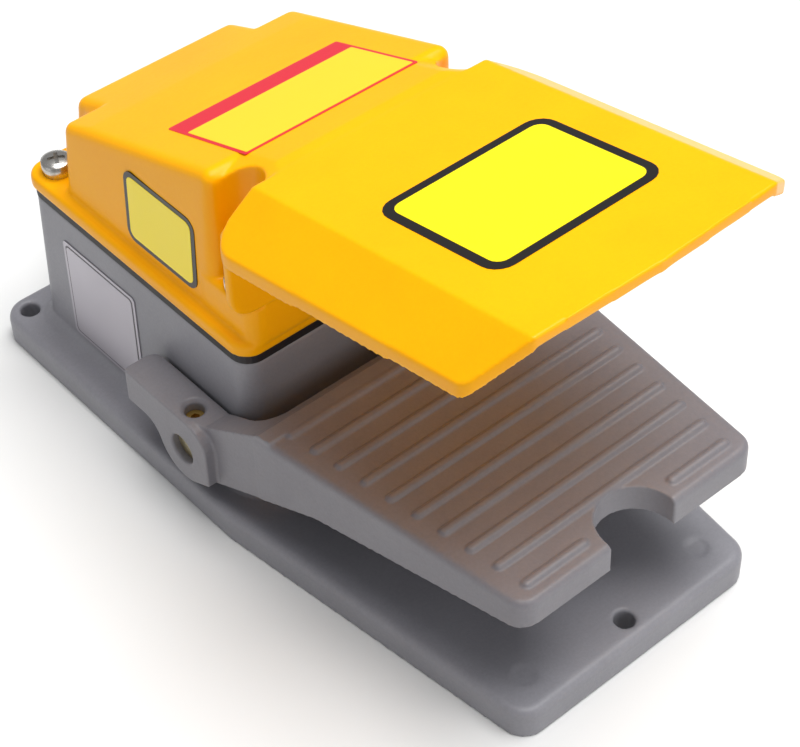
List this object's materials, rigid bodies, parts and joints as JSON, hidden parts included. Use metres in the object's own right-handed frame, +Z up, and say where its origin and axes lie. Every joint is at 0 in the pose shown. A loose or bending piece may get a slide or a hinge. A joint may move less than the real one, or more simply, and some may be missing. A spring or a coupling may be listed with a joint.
{
  "type": "guarded foot switch",
  "caption": "Industrial foot switch: cast base with housing, yellow cover with a long guard over a ribbed pedal on a cross shaft, and the switch unit inside.",
  "frame": {"origin": "middle of the base plate's underside, at the floor", "axes": "+X to the right seen from the front, +Y towards the rear where the cable leaves, +Z up"},
  "size_m": [0.1264, 0.252, 0.1509],
  "materials": {
    "base_paint": "satin",
    "cover_paint": "gloss",
    "pedal_metal": "satin",
    "black_rubber": "matte",
    "bright_steel": "satin",
    "bronze": "satin",
    "switch_plastic": "gloss",
    "gland_plastic": "matte",
    "dark_steel": "satin"
  },
  "bodies": {
    "root": {"base_plate": "base_paint", "housing": "base_paint", "cover": "cover_paint", "cover_gasket": "black_rubber", "cover_screws": "bright_steel", "spring_washers": "bright_steel", "pivot_bushes": "bronze", "shaft_seals": "black_rubber", "switch_bracket": "bright_steel", "bracket_screws": "bright_steel", "switch_case": "switch_plastic", "switch_screws": "bright_steel", "switch_nuts": "bright_steel", "switch_terminals": "bronze", "terminal_screws": "bright_steel", "lever_pin": "bright_steel", "return_spring": "dark_steel", "stop_pad": "black_rubber", "gland_body": "gland_plastic", "gland_washer": "black_rubber", "gland_seal": "black_rubber", "gland_nut": "gland_plastic", "earth_screw": "bronze", "earth_washer": "bright_steel"},
    "pedal": {"pedal": "pedal_metal", "pivot_shaft": "bright_steel", "set_screws": "dark_steel", "cam_lever": "dark_steel", "cam_screw": "dark_steel"},
    "switch_lever": {"switch_lever": "bright_steel", "roller_pin": "bright_steel"},
    "roller": {"lever_roller": "bright_steel"},
    "plunger": {"switch_plunger": "switch_plastic"}
  },
  "joints": [
    {"name": "pedal_press", "type": "hinge", "parent": "root", "child": "pedal", "pos_m": [0, 0.013, 0.028], "axis": [1, 0, 0], "range_deg": [0, 8], "stiffness_Nm_per_rad": 4, "springref_deg": -28.65, "deforming": ["return_spring"]},
    {"name": "lever_swing", "type": "hinge", "parent": "root", "child": "switch_lever", "pos_m": [0, 0.085, 0.04031], "axis": [-1, 0, 0], "range_deg": [0, 8.5]},
    {"name": "roller_spin", "type": "hinge", "parent": "switch_lever", "child": "roller", "pos_m": [0, 0.04904, 0.0378], "axis": [1, 0, 0], "continuous": true},
    {"name": "plunger_slide", "type": "slide", "parent": "root", "child": "plunger", "axis": [0, 0, 1], "range_m": [0, 0.003]}
  ],
  "couplings": [
    {"joint": "lever_swing", "follows": "pedal_press", "ratio": 1},
    {"joint": "plunger_slide", "follows": "pedal_press", "m_per_rad": 0.018007}
  ]
}
